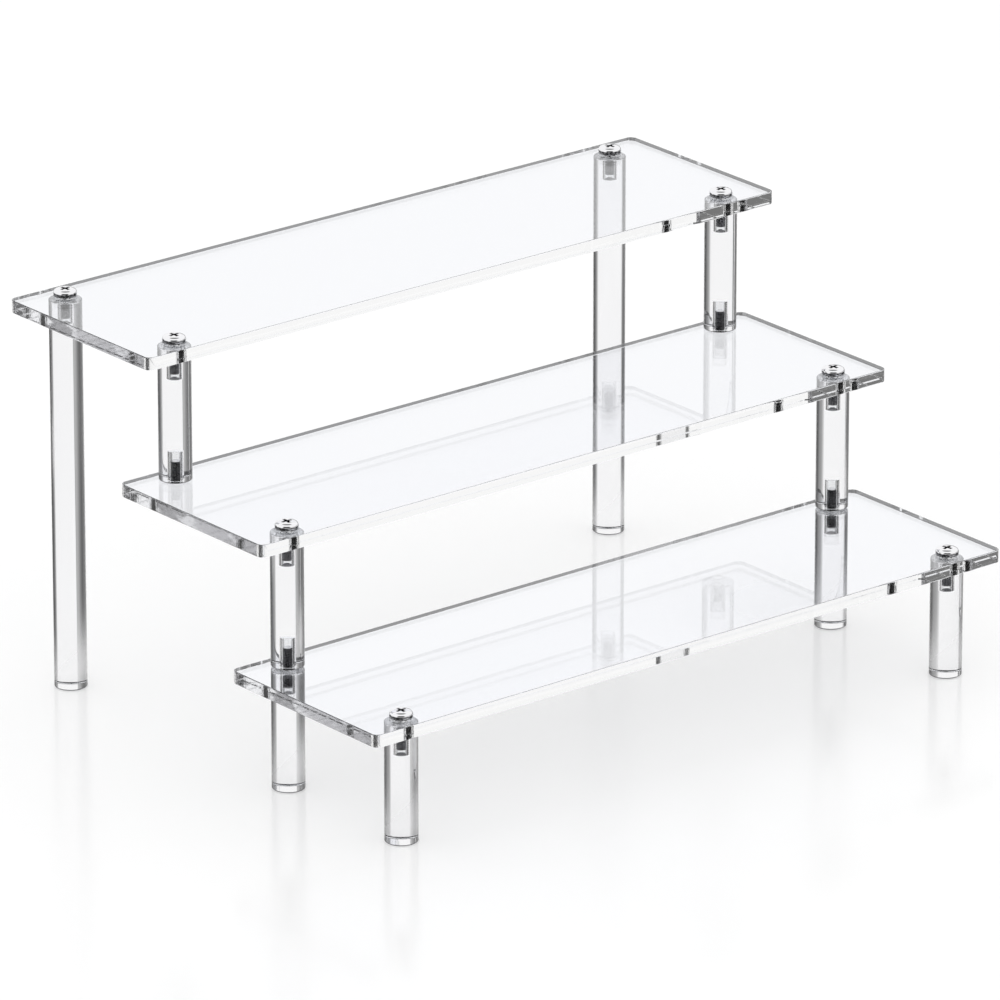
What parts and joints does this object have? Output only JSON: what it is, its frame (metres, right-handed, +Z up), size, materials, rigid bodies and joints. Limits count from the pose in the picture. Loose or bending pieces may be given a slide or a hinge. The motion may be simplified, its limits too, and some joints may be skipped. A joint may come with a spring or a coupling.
{
  "type": "display riser",
  "caption": "Clear acrylic display riser with equal long shelves stepping up from front to back on round rod posts, bolted with pan-head screws.",
  "frame": {"origin": "on the surface the riser stands on, below the middle of its overall box", "axes": "+X along the shelves to the right, +Y from the low front shelf to the high rear shelf, +Z up"},
  "size_m": [0.3, 0.217, 0.1579],
  "materials": {
    "acrylic_sheet": "clear cast acrylic sheet, polished faces and edges",
    "acrylic_rod": "clear acrylic rod, polished side and sawn, polished ends",
    "screw": "bright plated steel pan-head machine screw",
    "stud": "dull plated steel threaded stud"
  },
  "bodies": {
    "root": {"top_shelf": "acrylic_sheet", "middle_shelf": "acrylic_sheet", "bottom_shelf": "acrylic_sheet", "rear_leg_left": "acrylic_rod", "rear_leg_right": "acrylic_rod", "upper_post_left": "acrylic_rod", "upper_post_right": "acrylic_rod", "lower_post_left": "acrylic_rod", "lower_post_right": "acrylic_rod", "middle_leg_left": "acrylic_rod", "middle_leg_right": "acrylic_rod", "front_leg_left": "acrylic_rod", "front_leg_right": "acrylic_rod", "top_rear_screw_left": "screw", "top_rear_screw_right": "screw", "top_front_screw_left": "screw", "top_front_screw_right": "screw", "middle_front_screw_left": "screw", "middle_front_screw_right": "screw", "bottom_front_screw_left": "screw", "bottom_front_screw_right": "screw", "middle_rear_stud_left": "stud", "middle_rear_stud_right": "stud", "bottom_rear_stud_left": "stud", "bottom_rear_stud_right": "stud"}
  },
  "joints": []
}
